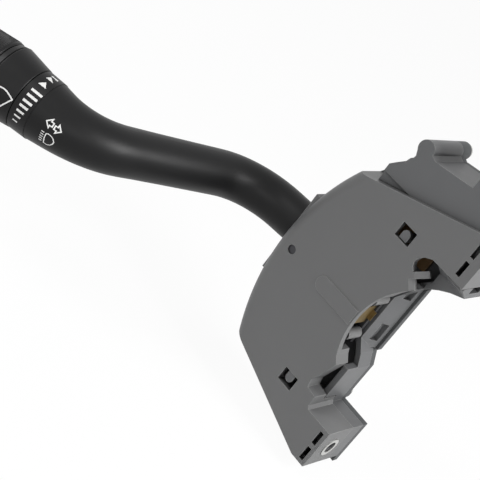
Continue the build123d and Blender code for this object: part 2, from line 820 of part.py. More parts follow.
def make_lever_root():
    """The insert that joins the stalk to the carrier, with the finger for the dimmer slide."""
    tongue = block(tongue_left, tongue_right, tongue_y - tongue_half, tongue_y + tongue_half,
                   axis_z - tongue_half, axis_z + tongue_half)
    tongue = chamfer(tongue.edges().group_by(Axis.X)[-1], 1.2)
    tongue -= rod_z(dimmer_x, tongue_y, dimmer_radius + pin_clearance, -through, through)
    frame = lever_frame()
    collar = frame * Pos(0, 0, -collar_length) * extrude(Circle(collar_radius), amount=collar_length)
    spigot = frame * extrude(Circle(stalk_bore - pin_clearance), amount=spigot_length)
    finger = rod_x(finger_y, axis_z, finger_radius, tongue_right - 0.5, finger_end)
    return tongue + collar + spigot + finger


def make_dimmer_pin():
    low, high = axis_z - tongue_half - running_gap, axis_z + tongue_half + running_gap
    return rod_z(dimmer_x, tongue_y, dimmer_radius, low - cheek, high + cheek)


def stalk_path():
    return FilletPolyline(stalk_start, first_bend, second_bend, ring_base,
                          radius=[first_bend_radius, second_bend_radius])


def stalk_radius(share):
    """The stalk's outer radius at a share of its length, flared at the outer end."""
    return stalk_exit_radius + stalk_taper * share + stalk_flare * share**stalk_flare_power


def path_plane(path, share):
    tangent = path % share
    return Plane(origin=path @ share, x_dir=Vector(0, 0, 1) - tangent * tangent.Z, z_dir=tangent)


def make_lever_stalk():
    path = stalk_path()
    shares = [index / (stalk_sections - 1) for index in range(stalk_sections)]
    body = loft([path_plane(path, share) * Circle(stalk_radius(share)) for share in shares])
    bore = sweep(path_plane(path, 0) * Circle(stalk_bore), path=path)
    socket = knob_frame() * Pos(0, 0, -spindle_sink) * extrude(Circle(spindle_radius),
                                                               amount=spindle_sink + 1)
    return body - bore - socket


def knob_frame():
    """A plane at the stalk's outer end, looking along the knob's axis."""
    axis = (Vector(*ring_base) - Vector(*second_bend)).normalized()
    return Plane(origin=ring_base, x_dir=(0, 0, 1), z_dir=axis)


def make_scale_ring():
    ring = lathe([
        (spindle_radius + pin_clearance, 0), (stalk_radius(1) + 0.15, 0), (ring_radius, ring_length),
        (spindle_radius + pin_clearance, ring_length),
    ])
    return knob_frame() * ring


def make_knob_spindle():
    tube = lathe([
        (spindle_bore, -spindle_sink), (spindle_radius - pin_clearance, -spindle_sink),
        (spindle_radius - pin_clearance, spindle_top), (spindle_bore, spindle_top),
    ])
    return knob_frame() * tube


def knob_back():
    return ring_length + knob_gap


def knob_front():
    return knob_back() + knob_flare + knob_bevel


def make_knob_body():
    back, wide, front = knob_back(), knob_back() + knob_flare, knob_front()
    bore = spindle_radius + pin_clearance
    body = lathe([
        (bore, back), (knob_start_radius, back), (knob_wide_radius, wide), (knob_step_radius, front),
        (neck_radius, front), (neck_radius, front + neck_length),
        (neck_radius - knob_wall, front + neck_length),
        (neck_radius - knob_wall, front - 1.2), (knob_step_radius - knob_wall, front - 2.2),
        (knob_start_radius - knob_wall, back + knob_wall), (bore, back + knob_wall),
    ])
    return knob_frame() * body


def make_wiper_wafer():
    start = knob_back() + knob_wall + 1.2
    disc = lathe([
        (spindle_radius, start), (wafer_radius, start), (wafer_radius, start + wafer_thickness),
        (spindle_radius, start + wafer_thickness),
    ])
    return knob_frame() * disc


def make_wiper_rotor():
    start = knob_back() + knob_wall + 1.2 + wafer_thickness + running_gap
    inner = spindle_radius + 0.4
    disc = lathe([
        (inner, start), (wafer_radius, start), (wafer_radius, start + rotor_thickness),
        (inner, start + rotor_thickness),
    ])
    tabs = Part()
    for angle in (0, 120, 240):
        tab = block(wafer_radius - 1, wafer_radius + 0.75, -1.5, 1.5, start, start + rotor_thickness)
        tabs += Rot(0, 0, angle) * tab
    return knob_frame() * (disc + tabs)


def make_knob_grip():
    back = knob_front() + grip_gap
    end = back + grip_length
    inner = grip_start_radius - 2.4
    shell = lathe([
        (neck_radius + 0.1, back), (grip_start_radius - 0.6, back), (grip_start_radius, back + 0.6),
        (grip_end_radius, end - grip_round), (grip_end_radius - grip_round * 0.3, end - grip_round * 0.3),
        (grip_end_radius - grip_round, end), (washer_radius + running_gap, end),
        (washer_radius + running_gap, end - washer_cup), (inner - 1.6, end - washer_cup),
        (inner - 1.6, back + neck_length), (neck_radius + 0.1, back + neck_length),
    ])
    slope = (grip_start_radius - grip_end_radius) / (grip_length - grip_round - 0.6)
    length = grip_length - grip_round - 2.4
    middle = Pos(grip_start_radius - 0.9 * slope - 0.15, 0, back + 1.5 + length / 2)
    rib = middle * Rot(0, -math.degrees(slope), 0) * Box(2 * rib_height, 0.9, length)
    ribs = Part()
    for index in range(rib_count):
        ribs += Rot(0, 0, 360 * index / rib_count) * Pos(-slope * length / 2, 0, 0) * rib
    return knob_frame() * (shell + ribs)


def cap_face():
    return knob_front() + grip_gap + grip_length


def washer_low():
    """The underside of the washer button's flange at rest."""
    return cap_face() - washer_cup - 0.05 - washer_flange


def make_washer_button():
    low, high = washer_low(), cap_face() + washer_show
    body = lathe([
        (0, spindle_top - 6), (spindle_bore - running_gap, spindle_top - 6),
        (spindle_bore - running_gap, low),
        (washer_radius + 1.6, low), (washer_radius + 1.6, low + washer_flange),
        (washer_radius, low + washer_flange),
        (washer_radius, high - 1.2), (washer_radius - 1.2, high), (0, high),
    ])
    return knob_frame() * body


def make_washer_spring():
    start = spindle_top
    return knob_frame() * Pos(0, 0, start) * coil(spindle_bore + 0.9, washer_low() - start, 5)


def make_dimmer_slide():
    body = block(slide_left, slide_right, slide_front, slide_back, slide_low, slide_high)
    gap = finger_radius + running_gap
    body -= block(slide_left - 1, finger_end + 0.5, finger_y - gap, finger_y + gap,
                  axis_z - slot_half_swing, axis_z + slot_half_swing)
    return body


def dimmer_rows():
    return (axis_z - 4.0, axis_z + 3.0)


def make_dimmer_contact():
    bridge = block(slide_left + 1.2, slide_right - 0.8, slide_back, slide_back + 0.6, axis_z - 5.5,
                   axis_z + 4.5)
    for z in dimmer_rows():
        bridge += rod_y((slide_left + slide_right) / 2, z, 0.9, slide_back + 0.5, slide_back + 0.9)
    return bridge


def make_dimmer_board():
    back = bay_back - wall
    return block(dimmer_board_left, dimmer_board_right - 1.4, back - board_thickness, back,
                 slide_low + 0.1, slide_high - 0.1)


def make_dimmer_contacts():
    front = bay_back - wall - board_thickness
    x = (slide_left + slide_right) / 2
    return [rod_y(x, z, 1.0, front - dimmer_contact_height, front) for z in dimmer_rows()]


def make_turn_board():
    back = housing_back - floor_thickness
    board = slab(polygon([
        (turn_board_left, turn_board_near), (turn_board_right, turn_board_near),
        (turn_board_right, turn_board_far - 6), (turn_board_right - 6, turn_board_far),
        (turn_board_left + 6, turn_board_far), (turn_board_left, turn_board_far - 6),
    ]), board_front, back)
    x, z = post_points[0]
    board -= rod_y(x, z, screw_boss + running_gap, board_front - 1, back + 1)
    board -= block(window_left + 1.2, window_right - 1.2, board_front - 1, back + 1,
                   window_near - 0.3, window_near + 2.3)
    for pin in terminal_holes(signal_terminals(), 0):
        board -= pin
    return board


def make_turn_contacts():
    middle = (cheek_left + cheek_right) / 2 + 0.5
    z = turn_board_near + 1.4
    return [
        block(middle + step - 1.6, middle + step + 1.6, board_front - contact_height, board_front,
              z - 1.2, z + 4.5)
        for step in (-4.6, 0, 4.6)
    ]


def hazard_x():
    return (tower_left + upper_leg_end) / 2


def make_hazard_board():
    back = housing_back - floor_thickness
    return block(tower_left + wall + 0.2, upper_leg_end - wall - 0.2, board_front, back,
                 hazard_board_low, hazard_board_high)


def make_hazard_button():
    x, y = hazard_x(), hazard_y
    low = tower_top - wall - 0.2
    cap = block(x - button_width / 2, x + button_width / 2, y - button_depth / 2, y + button_depth / 2,
                low - button_flange, tower_top + button_show)
    cap = fillet(cap.edges().group_by(Axis.Z)[-1], 1.4)
    cap = fillet(cap.edges().filter_by(Axis.Z), 1.2)
    flange = block(x - button_width / 2 - 0.9, x + button_width / 2 + 0.9, y - button_depth / 2 - 0.9,
                   y + button_depth / 2 + 0.9, low - button_flange, low)
    return cap + flange


def make_hazard_slide():
    x, y = hazard_x(), hazard_y
    top = tower_top - wall - 0.2 - button_flange
    stem = block(x - stem_width / 2, x + stem_width / 2, y - stem_depth / 2, y + stem_depth / 2,
                 stem_foot, top)
    return stem - rod_z(x, y, stem_bore + 0.2, stem_foot - 1, top - 4)


def make_hazard_spring():
    top = tower_top - wall - 0.2 - button_flange - 4
    return Pos(hazard_x(), hazard_y, seat_z) * coil(stem_bore - 0.6, top - seat_z, 7)


def make_hazard_contact():
    x, y = hazard_x(), hazard_y + stem_depth / 2
    bridge = block(x - 4, x + 4, y, y + 0.5, stem_foot + 0.6, stem_foot + 4.0)
    for step in (-2.6, 2.6):
        bridge += rod_y(x + step, stem_foot + 2.2, 1.0, y + 0.4, board_front - contact_height - 0.2)
    return bridge


def make_hazard_contacts():
    low = stem_foot - button_travel
    front = board_front - contact_height
    return [
        block(hazard_x() + step - 1.3, hazard_x() + step + 1.3, front, board_front, low, stem_foot + 4)
        for step in (-2.6, 2.6)
    ]


def signal_terminals():
    x, z = signal_middle
    return [(x + terminal_pitch * (column - 2.5), z + row * 2.2) for column in range(6) for row in (-1, 1)]


def wiper_terminals():
    x, z = wiper_middle
    return [(x + terminal_pitch * (column - 1.5), z + row * 2.0) for column in range(4) for row in (-1, 1)]


def terminal_holes(points, gap):
    half = terminal_width / 2 + gap
    return [block(x - half, x + half, board_front - 2, bay_back + 1, z - half, z + half) for x, z in points]


def terminal_cuts():
    return terminal_holes(signal_terminals(), terminal_gap) + terminal_holes(wiper_terminals(), terminal_gap)


def connector(size, middle, base, points):
    """An open plug shroud on the back, with a floor that the terminals pass through."""
    width, height = size
    x, z = middle
    face = RectangleRounded(width, height, 1.5)
    body = slab(Pos(x, z) * face, base, base + connector_depth)
    pocket = RectangleRounded(width - 2 * connector_wall, height - 2 * connector_wall, 0.8)
    body -= slab(Pos(x, z) * pocket, base + 2.0, base + connector_depth + 1)
    body += block(x - 3, x + 3, base, base + connector_depth - 3, z + height / 2 - 0.1, z + height / 2 + 1.4)
    half = terminal_width / 2
    for px, pz in points:
        body -= block(px - half, px + half, base - 1, base + 3, pz - half, pz + half)
    return body


def make_signal_connector():
    return connector(signal_size, signal_middle, housing_back + plate_thickness, signal_terminals())


def make_wiper_connector():
    return connector(wiper_size, wiper_middle, bay_back, wiper_terminals())


def terminals(points, start, end):
    half = terminal_width / 2
    return [block(x - half, x + half, start, end, z - half, z + half) for x, z in points]


def make_signal_pins():
    base = housing_back + plate_thickness
    return terminals(signal_terminals(), board_front - 0.5, base + terminal_reach)


def make_wiper_pins():
    return terminals(wiper_terminals(), bay_back - wall + 0.1, bay_back + terminal_reach)


NODES = {
    "front_cover": make_front_cover,
    "main_housing": make_main_housing,
    "rear_plate": make_rear_plate,
    "housing_screws": make_housing_screws,
    "mount_inserts": make_mount_inserts,
    "pivot_pins": make_pivot_pins,
    "lever_carrier": make_lever_carrier,
    "turn_contact": make_turn_contact,
    "detent_plunger": make_detent_plunger,
    "detent_spring": make_detent_spring,
    "detent_frame": make_detent_frame,
    "cancel_pawl": make_cancel_pawl,
    "pawl_pin": make_pawl_pin,
    "pawl_spring": make_pawl_spring,
    "lever_root": make_lever_root,
    "dimmer_pin": make_dimmer_pin,
    "lever_stalk": make_lever_stalk,
    "scale_ring": make_scale_ring,
    "knob_spindle": make_knob_spindle,
    "knob_body": make_knob_body,
    "wiper_wafer": make_wiper_wafer,
    "wiper_rotor": make_wiper_rotor,
    "knob_grip": make_knob_grip,
    "washer_button": make_washer_button,
    "washer_spring": make_washer_spring,
    "dimmer_slide": make_dimmer_slide,
    "dimmer_contact": make_dimmer_contact,
    "dimmer_board": make_dimmer_board,
    "dimmer_contacts": make_dimmer_contacts,
    "turn_board": make_turn_board,
    "turn_contacts": make_turn_contacts,
    "hazard_board": make_hazard_board,
    "hazard_button": make_hazard_button,
    "hazard_slide": make_hazard_slide,
    "hazard_spring": make_hazard_spring,
    "hazard_contact": make_hazard_contact,
    "hazard_contacts": make_hazard_contacts,
    "signal_connector": make_signal_connector,
    "wiper_connector": make_wiper_connector,
    "signal_pins": make_signal_pins,
    "wiper_pins": make_wiper_pins,
}


def main():
    os.makedirs("parts", exist_ok=True)
    for name, make in NODES.items():
        made = make()
        pieces = made if isinstance(made, list) else [made]
        solids = [solid for piece in pieces for solid in piece.solids()]
        shape = solids[0] if len(solids) == 1 else Compound(children=solids)
        shape.label = name
        export_step(shape, f"parts/{name}.step")


if __name__ == "__main__":
    main()
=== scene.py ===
"""Studio scene of a steering-column hazard switch with its lever.

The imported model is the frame. This script dresses its nodes, models the pieces
that need a finer surface than the solids have, and sets the studio around them.
"""

from __future__ import annotations

import logging
import math
from dataclasses import dataclass
from enum import Enum

import bmesh
import bpy
from mathutils import Matrix, Vector
from mathutils.bvhtree import BVHTree

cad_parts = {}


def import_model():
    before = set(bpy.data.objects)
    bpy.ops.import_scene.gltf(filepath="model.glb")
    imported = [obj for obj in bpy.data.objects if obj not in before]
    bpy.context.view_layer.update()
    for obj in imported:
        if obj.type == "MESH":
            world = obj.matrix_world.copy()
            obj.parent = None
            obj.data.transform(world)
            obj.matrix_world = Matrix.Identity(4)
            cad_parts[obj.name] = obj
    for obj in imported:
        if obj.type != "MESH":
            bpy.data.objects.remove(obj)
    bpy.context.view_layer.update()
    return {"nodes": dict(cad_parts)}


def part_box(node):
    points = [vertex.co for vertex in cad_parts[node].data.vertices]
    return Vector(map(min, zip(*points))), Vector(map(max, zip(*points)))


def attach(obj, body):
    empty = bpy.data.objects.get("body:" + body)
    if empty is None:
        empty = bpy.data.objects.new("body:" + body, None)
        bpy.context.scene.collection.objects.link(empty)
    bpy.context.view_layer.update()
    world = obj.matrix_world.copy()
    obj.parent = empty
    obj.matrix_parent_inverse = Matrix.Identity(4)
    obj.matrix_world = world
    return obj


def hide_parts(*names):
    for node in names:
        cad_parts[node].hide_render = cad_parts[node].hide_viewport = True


log = logging.getLogger("hazard_switch")

MM = 0.001

# Mouths of the two insert bores on the leg ends, in millimetres
LOWER_BORE = (-12.7, 9.5, -46.3)
UPPER_BORE = (-10.7, 12.0, 50.9)


class Body(Enum):
    """The bodies that the modelled pieces ride on."""

    HOUSING = "housing"
    LEVER = "lever"
    KNOB = "knob"
    HAZARD = "hazard"


def socket_in(group: bpy.types.NodeTree, name: str, kind: str, value: object = None) -> None:
    """Adds an input socket to a node group.

    Args:
        group: The node group.
        name: The socket's name.
        kind: The socket's type, such as NodeSocketFloat.
        value: Its default, if it has one.
    """
    made = group.interface.new_socket(name=name, in_out="INPUT", socket_type=kind)
    if value is not None:
        made.default_value = value


def socket_out(group: bpy.types.NodeTree, name: str, kind: str) -> None:
    """Adds an output socket to a node group."""
    group.interface.new_socket(name=name, in_out="OUTPUT", socket_type=kind)


class MouldedSurface:
    """Node group for moulded plastic: cloudy colour, fine grain, a painted highlight along edges and painted
    shade in recesses.
    """

    name: str = "moulded_surface"
    cloud_scale: float = 45.0
    cloud_detail: float = 4.0
    grain_detail: float = 2.0
    samples: int = 6
    # Sharpness of the painted highlight along edges.
    highlight_gain: float = 10.0
    rough_cloud: float = 0.18
    # Reach and steepness of the painted shade in recesses.
    shade_reach: float = 0.011
    shade_power: float = 2.6

    def __init__(self) -> None:
        """Builds the group once."""
        group = bpy.data.node_groups.new(self.name, "ShaderNodeTree")
        socket_in(group, "Colour", "NodeSocketColor", (0.2, 0.2, 0.2, 1.0))
        socket_in(group, "Edge Highlight Colour", "NodeSocketColor", (0.3, 0.3, 0.3, 1.0))
        socket_in(group, "Edge Width", "NodeSocketFloat", 0.0003)
        socket_in(group, "Edge Highlight Amount", "NodeSocketFloat", 0.5)
        socket_in(group, "Cloud", "NodeSocketFloat", 0.1)
        socket_in(group, "Grain Scale", "NodeSocketFloat", 4000.0)
        socket_in(group, "Roughness", "NodeSocketFloat", 0.5)
        socket_in(group, "Shade Reach", "NodeSocketFloat", self.shade_reach)
        socket_in(group, "Painted Shade", "NodeSocketFloat", 0.5)
        socket_out(group, "Colour", "NodeSocketColor")
        socket_out(group, "Roughness", "NodeSocketFloat")
        socket_out(group, "Height", "NodeSocketFloat")
        socket_out(group, "Soft Normal", "NodeSocketVector")
        nodes, links = group.nodes, group.links
        inp = nodes.new("NodeGroupInput")
        out = nodes.new("NodeGroupOutput")
        place = nodes.new("ShaderNodeTexCoord")
        cloud = nodes.new("ShaderNodeTexNoise")
        cloud.inputs["Scale"].default_value = self.cloud_scale
        cloud.inputs["Detail"].default_value = self.cloud_detail
        links.new(place.outputs["Object"], cloud.inputs["Vector"])
        grain = nodes.new("ShaderNodeTexNoise")
        grain.inputs["Detail"].default_value = self.grain_detail
        links.new(place.outputs["Object"], grain.inputs["Vector"])
        links.new(inp.outputs["Grain Scale"], grain.inputs["Scale"])
        centred = self.maths(nodes, links, "SUBTRACT", cloud.outputs["Fac"], 0.5)
        amount = self.maths(nodes, links, "MULTIPLY", centred, inp.outputs["Cloud"])
        lift = self.maths(nodes, links, "ADD", amount, 1.0)
        tone = nodes.new("ShaderNodeVectorMath")
        tone.operation = "SCALE"
        links.new(inp.outputs["Colour"], tone.inputs[0])
        links.new(lift, tone.inputs["Scale"])
        soft = nodes.new("ShaderNodeBevel")
        soft.samples = self.samples
        links.new(inp.outputs["Edge Width"], soft.inputs["Radius"])
        facing = nodes.new("ShaderNodeNewGeometry")
        # Painted highlight along edges: where the rounded normal turns away from the true one, the colour is
        # mixed towards the lighter edge colour.
        meet = nodes.new("ShaderNodeVectorMath")
        meet.operation = "DOT_PRODUCT"
        links.new(soft.outputs["Normal"], meet.inputs[0])
        links.new(facing.outputs["Normal"], meet.inputs[1])
        turn = self.maths(nodes, links, "SUBTRACT", 1.0, meet.outputs["Value"])
        sharp = self.maths(nodes, links, "MULTIPLY", turn, self.highlight_gain, clamp=True)
        patchy_highlight = self.maths(nodes, links, "MULTIPLY", sharp, cloud.outputs["Fac"])
        edge = self.maths(nodes, links, "MULTIPLY", patchy_highlight, inp.outputs["Edge Highlight Amount"], clamp=True)
        mix = nodes.new("ShaderNodeMix")
        mix.data_type = "RGBA"
        links.new(edge, mix.inputs["Factor"])
        links.new(tone.outputs["Vector"], mix.inputs["A"])
        links.new(inp.outputs["Edge Highlight Colour"], mix.inputs["B"])
        rough_shift = self.maths(nodes, links, "MULTIPLY", centred, self.rough_cloud)
        rough = self.maths(nodes, links, "ADD", inp.outputs["Roughness"], rough_shift, clamp=True)
        # Painted shade: the colour is darkened where ambient occlusion finds the surface shut in by nearby
        # surfaces.
        occlusion_probe = nodes.new("ShaderNodeAmbientOcclusion")
        occlusion_probe.samples = self.samples
        links.new(inp.outputs["Shade Reach"], occlusion_probe.inputs["Distance"])
        shut = self.maths(nodes, links, "SUBTRACT", 1.0, occlusion_probe.outputs["AO"])
        steep = self.maths(nodes, links, "POWER", shut, self.shade_power)
        painted_darkening = self.maths(nodes, links, "MULTIPLY", steep, inp.outputs["Painted Shade"], clamp=True)
        keep = self.maths(nodes, links, "SUBTRACT", 1.0, painted_darkening)
        shade = nodes.new("ShaderNodeVectorMath")
        shade.operation = "SCALE"
        links.new(mix.outputs["Result"], shade.inputs[0])
        links.new(keep, shade.inputs["Scale"])
        links.new(shade.outputs["Vector"], out.inputs["Colour"])
        links.new(rough, out.inputs["Roughness"])
        links.new(grain.outputs["Fac"], out.inputs["Height"])
        links.new(soft.outputs["Normal"], out.inputs["Soft Normal"])

    @staticmethod
    def maths(
        nodes: bpy.types.Nodes,
        links: bpy.types.NodeLinks,
        operation: str,
        a: object,
        b: object,
        clamp: bool = False,
    ) -> bpy.types.NodeSocket:
        """Adds a maths node.

        Args:
            nodes: The tree's nodes.
            links: The tree's links.
            operation: The operation's name.
            a: First input, a socket or a number.
            b: Second input, a socket or a number.
            clamp: Whether the result stays between 0 and 1.

        Returns:
            The node's output socket.
        """
        node = nodes.new("ShaderNodeMath")
        node.operation = operation
        node.use_clamp = clamp
        for index, value in enumerate((a, b)):
            if isinstance(value, (int, float)):
                node.inputs[index].default_value = value
            else:
                links.new(value, node.inputs[index])
        return node.outputs[0]


@dataclass(frozen=True)
class Plastic:
    """A moulded plastic finish. Colours are linear."""

    name: str
    colour: tuple[float, float, float]
    # Lighter colour painted along the edges as a highlight.
    edge: tuple[float, float, float]
    roughness: float = 0.5
    cloud: float = 0.08
    edge_width: float = 0.0003
    highlight_amount: float = 1.0
    grain_scale: float = 5000.0
    grain_depth: float = 0.00002
    bump_strength: float = 0.35
    specular: float = 0.5
    # Strength of the painted shade that darkens recesses.
    painted_shade: float = 1.5

    def make(self) -> bpy.types.Material:
        """Builds the material.

        Returns:
            The finished material.
        """
        mat = bpy.data.materials.new(self.name)
        mat.use_nodes = True
        nodes, links = mat.node_tree.nodes, mat.node_tree.links
        shader = nodes["Principled BSDF"]
        shader.inputs["Specular IOR Level"].default_value = self.specular
        group = nodes.new("ShaderNodeGroup")
        group.node_tree = bpy.data.node_groups[MouldedSurface.name]
        group.inputs["Colour"].default_value = (*self.colour, 1.0)
        group.inputs["Edge Highlight Colour"].default_value = (*self.edge, 1.0)
        group.inputs["Edge Width"].default_value = self.edge_width
        group.inputs["Edge Highlight Amount"].default_value = self.highlight_amount
        group.inputs["Cloud"].default_value = self.cloud
        group.inputs["Grain Scale"].default_value = self.grain_scale
        group.inputs["Roughness"].default_value = self.roughness
        group.inputs["Painted Shade"].default_value = self.painted_shade
        bump = nodes.new("ShaderNodeBump")
        bump.inputs["Strength"].default_value = self.bump_strength
        bump.inputs["Distance"].default_value = self.grain_depth
        links.new(group.outputs["Colour"], shader.inputs["Base Color"])
        links.new(group.outputs["Roughness"], shader.inputs["Roughness"])
        links.new(group.outputs["Height"], bump.inputs["Height"])
        links.new(group.outputs["Soft Normal"], bump.inputs["Normal"])
        links.new(bump.outputs["Normal"], shader.inputs["Normal"])
        return mat


@dataclass(frozen=True)
class Metal:
    """A plated or stamped metal finish. Colours are linear."""

    name: str
    colour: tuple[float, float, float]
    roughness: float = 0.32
    smoother: float = 0.08
    rougher: float = 0.12
    dull_share: float = 0.82
    streak_scale: float = 900.0
    streak_detail: float = 3.0
    bump_strength: float = 0.2
    grain_depth: float = 0.00002

    def make(self) -> bpy.types.Material:
        """Builds the material.

        Returns:
            The finished material.
        """
        mat = bpy.data.materials.new(self.name)
        mat.use_nodes = True
        nodes, links = mat.node_tree.nodes, mat.node_tree.links
        shader = nodes["Principled BSDF"]
        shader.inputs["Metallic"].default_value = 1.0
        place = nodes.new("ShaderNodeTexCoord")
        grain = nodes.new("ShaderNodeTexNoise")
        grain.inputs["Scale"].default_value = self.streak_scale
        grain.inputs["Detail"].default_value = self.streak_detail
        links.new(place.outputs["Object"], grain.inputs["Vector"])
        ramp = nodes.new("ShaderNodeMapRange")
        ramp.inputs["To Min"].default_value = self.roughness - self.smoother
        ramp.inputs["To Max"].default_value = self.roughness + self.rougher
        links.new(grain.outputs["Fac"], ramp.inputs["Value"])
        links.new(ramp.outputs["Result"], shader.inputs["Roughness"])
        tint = nodes.new("ShaderNodeMix")
        tint.data_type = "RGBA"
        tint.inputs["A"].default_value = (*(self.dull_share * c for c in self.colour), 1.0)
        tint.inputs["B"].default_value = (*self.colour, 1.0)
        links.new(grain.outputs["Fac"], tint.inputs["Factor"])
        links.new(tint.outputs["Result"], shader.inputs["Base Color"])
        bump = nodes.new("ShaderNodeBump")
        bump.inputs["Strength"].default_value = self.bump_strength
        bump.inputs["Distance"].default_value = self.grain_depth
        links.new(grain.outputs["Fac"], bump.inputs["Height"])
        links.new(bump.outputs["Normal"], shader.inputs["Normal"])
        return mat


COVER_GREY = Plastic("cover_grey", (0.12, 0.121, 0.122), (0.34, 0.34, 0.33), roughness=0.46)
HOUSING_GREY = Plastic("housing_grey", (0.1, 0.102, 0.105), (0.32, 0.32, 0.31), roughness=0.45)
PLATE_GREY = Plastic("plate_grey", (0.045, 0.048, 0.05), (0.12, 0.12, 0.12), roughness=0.55)
LEVER_BLACK = Plastic(
    "lever_black", (0.005, 0.005, 0.0053), (0.03, 0.03, 0.03), roughness=0.43, grain_scale=3500.0,
    grain_depth=0.00004, edge_width=0.0002, highlight_amount=0.4, specular=0.22, painted_shade=0.8,
)
ACETAL = Plastic("natural_acetal", (0.46, 0.45, 0.42), (0.75, 0.74, 0.70), roughness=0.4)
PAWL_GREY = Plastic("pawl_grey", (0.12, 0.12, 0.12), (0.5, 0.5, 0.5), roughness=0.35)
FILLED_BLACK = Plastic("filled_black", (0.02, 0.02, 0.022), (0.07, 0.07, 0.07), roughness=0.6)
LAMINATE = Plastic("board_laminate", (0.13, 0.075, 0.03), (0.2, 0.14, 0.08), roughness=0.5, cloud=0.3)
BUTTON_RED = Plastic("button_red", (0.42, 0.012, 0.008), (0.6, 0.05, 0.04), roughness=0.35)
PRINT_WHITE = Plastic(
    "print_white", (0.8, 0.8, 0.79), (0.8, 0.8, 0.79), roughness=0.55, cloud=0.05, edge_width=0.00005,
    highlight_amount=0.1, painted_shade=0.0,
)
BLACKENED = Metal("blackened_steel", (0.07, 0.07, 0.075), roughness=0.5)
ZINC = Metal("zinc_plate", (0.62, 0.62, 0.60))
STRIP_BRASS = Metal("strip_brass", (0.26, 0.19, 0.085), roughness=0.42)
SPRING_STEEL = Metal("spring_steel", (0.5, 0.5, 0.5), roughness=0.28)


class Dresser:
    """Gives each kept CAD node its finish."""

    finishes: dict[str, Plastic | Metal] = {
        "front_cover": COVER_GREY, "main_housing": HOUSING_GREY, "rear_plate": PLATE_GREY,
        "housing_screws": ZINC, "mount_inserts": ZINC, "pivot_pins": BLACKENED, "lever_carrier": ACETAL,
        "turn_contact": STRIP_BRASS, "detent_plunger": ACETAL, "detent_spring": SPRING_STEEL,
        "detent_frame": FILLED_BLACK, "cancel_pawl": PAWL_GREY, "pawl_pin": ZINC, "pawl_spring": STRIP_BRASS,
        "lever_root": FILLED_BLACK, "dimmer_pin": ZINC, "lever_stalk": LEVER_BLACK, "scale_ring": LEVER_BLACK,
        "knob_spindle": FILLED_BLACK, "knob_body": LEVER_BLACK, "wiper_wafer": LAMINATE,
        "wiper_rotor": ACETAL, "knob_grip": LEVER_BLACK, "washer_button": LEVER_BLACK,
        "washer_spring": SPRING_STEEL,
        "dimmer_slide": ACETAL, "dimmer_contact": STRIP_BRASS, "dimmer_board": LAMINATE,
        "dimmer_contacts": STRIP_BRASS, "turn_board": LAMINATE, "turn_contacts": STRIP_BRASS,
        "hazard_board": LAMINATE, "hazard_button": BUTTON_RED, "hazard_slide": ACETAL,
        "hazard_spring": SPRING_STEEL, "hazard_contact": STRIP_BRASS, "hazard_contacts": STRIP_BRASS,
        "signal_connector": FILLED_BLACK, "wiper_connector": FILLED_BLACK, "signal_pins": STRIP_BRASS,
        "wiper_pins": STRIP_BRASS,
    }

    def __init__(self) -> None:
        """Prepares an empty store of made materials."""
        self.made: dict[str, bpy.types.Material] = {}

    def material(self, finish: Plastic | Metal) -> bpy.types.Material:
        """The finish's material, made the first time it is asked for."""
        if finish.name not in self.made:
            self.made[finish.name] = finish.make()
        return self.made[finish.name]

    def dress(self, nodes: dict[str, bpy.types.Object]) -> None:
        """Puts the finishes on the CAD nodes.

        Args:
            nodes: The frame's nodes by name.
        """
        for name, node in nodes.items():
            made = self.material(self.finishes[name])
            for slot in node.material_slots:
                slot.material = made
        log.info("dressed %d nodes", len(nodes))


@dataclass(frozen=True)
class KnobAxis:
    """The knob's axis, from the stalk's outer end towards the tip. Lengths are in millimetres."""

    base: tuple[float, float, float] = (-144.9, -62.5, -4.3)
    bend: tuple[float, float, float] = (-127.6, -57.3, -3.4)

    def matrix(self) -> Matrix:
        """The turn and place of the axis in the scene.

        Returns:
            A matrix whose Z runs along the knob, with X as near to upright as it can be.
        """
        along = (Vector(self.base) - Vector(self.bend)).normalized()
        upright = (Vector((0.0, 0.0, 1.0)) - along * along.z).normalized()
        turn = Matrix((upright, along.cross(upright), along)).transposed().to_4x4()
        return Matrix.Translation(Vector(self.base) * MM) @ turn


class Shape:
    """A mesh being made in millimetres, placed in the scene when it is finished."""

    def __init__(self) -> None:
        """Starts an empty mesh."""
        self.mesh = bmesh.new()

    def ring_of(self, points: list[tuple[float, float]], steps: int) -> None:
        """Turns a closed outline of radius and height pairs about Z.

        Args:
            points: The outline's corners.
            steps: Segments in the full turn.
        """
        bm = self.mesh
        verts = [bmesh.ops.create_vert(bm, co=(radius, 0.0, height))["vert"][0] for radius, height in points]
        for index, vert in enumerate(verts):
            bmesh.ops.contextual_create(bm, geom=[vert, verts[(index + 1) % len(verts)]])
        bmesh.ops.spin(
            bm, geom=bm.verts[:] + bm.edges[:], cent=(0, 0, 0), axis=(0, 0, 1), angle=math.tau, steps=steps,
            use_merge=True,
        )
        bmesh.ops.recalc_face_normals(bm, faces=bm.faces)

    def finish(
        self, name: str, place: Matrix, material: bpy.types.Material, smooth: float = 30.0
    ) -> bpy.types.Object:
        """Turns the mesh into an object of the scene.

        Args:
            name: The object's name.
            place: Where the mesh's own frame stands.
            material: Its finish.
            smooth: Angle in degrees up to which edges shade smooth.

        Returns:
            The new object.
        """
        bm = self.mesh
        bmesh.ops.scale(bm, vec=(MM, MM, MM), verts=bm.verts)
        bmesh.ops.transform(bm, matrix=place, verts=bm.verts)
        for face in bm.faces:
            face.smooth = True
        limit = math.radians(smooth)
        for edge in bm.edges:
            edge.smooth = len(edge.link_faces) == 2 and edge.calc_face_angle(0.0) < limit
        data = bpy.data.meshes.new(name)
        bm.to_mesh(data)
        bm.free()
        data.materials.append(material)
        made = bpy.data.objects.new(name, data)
        bpy.context.scene.collection.objects.link(made)
        return made


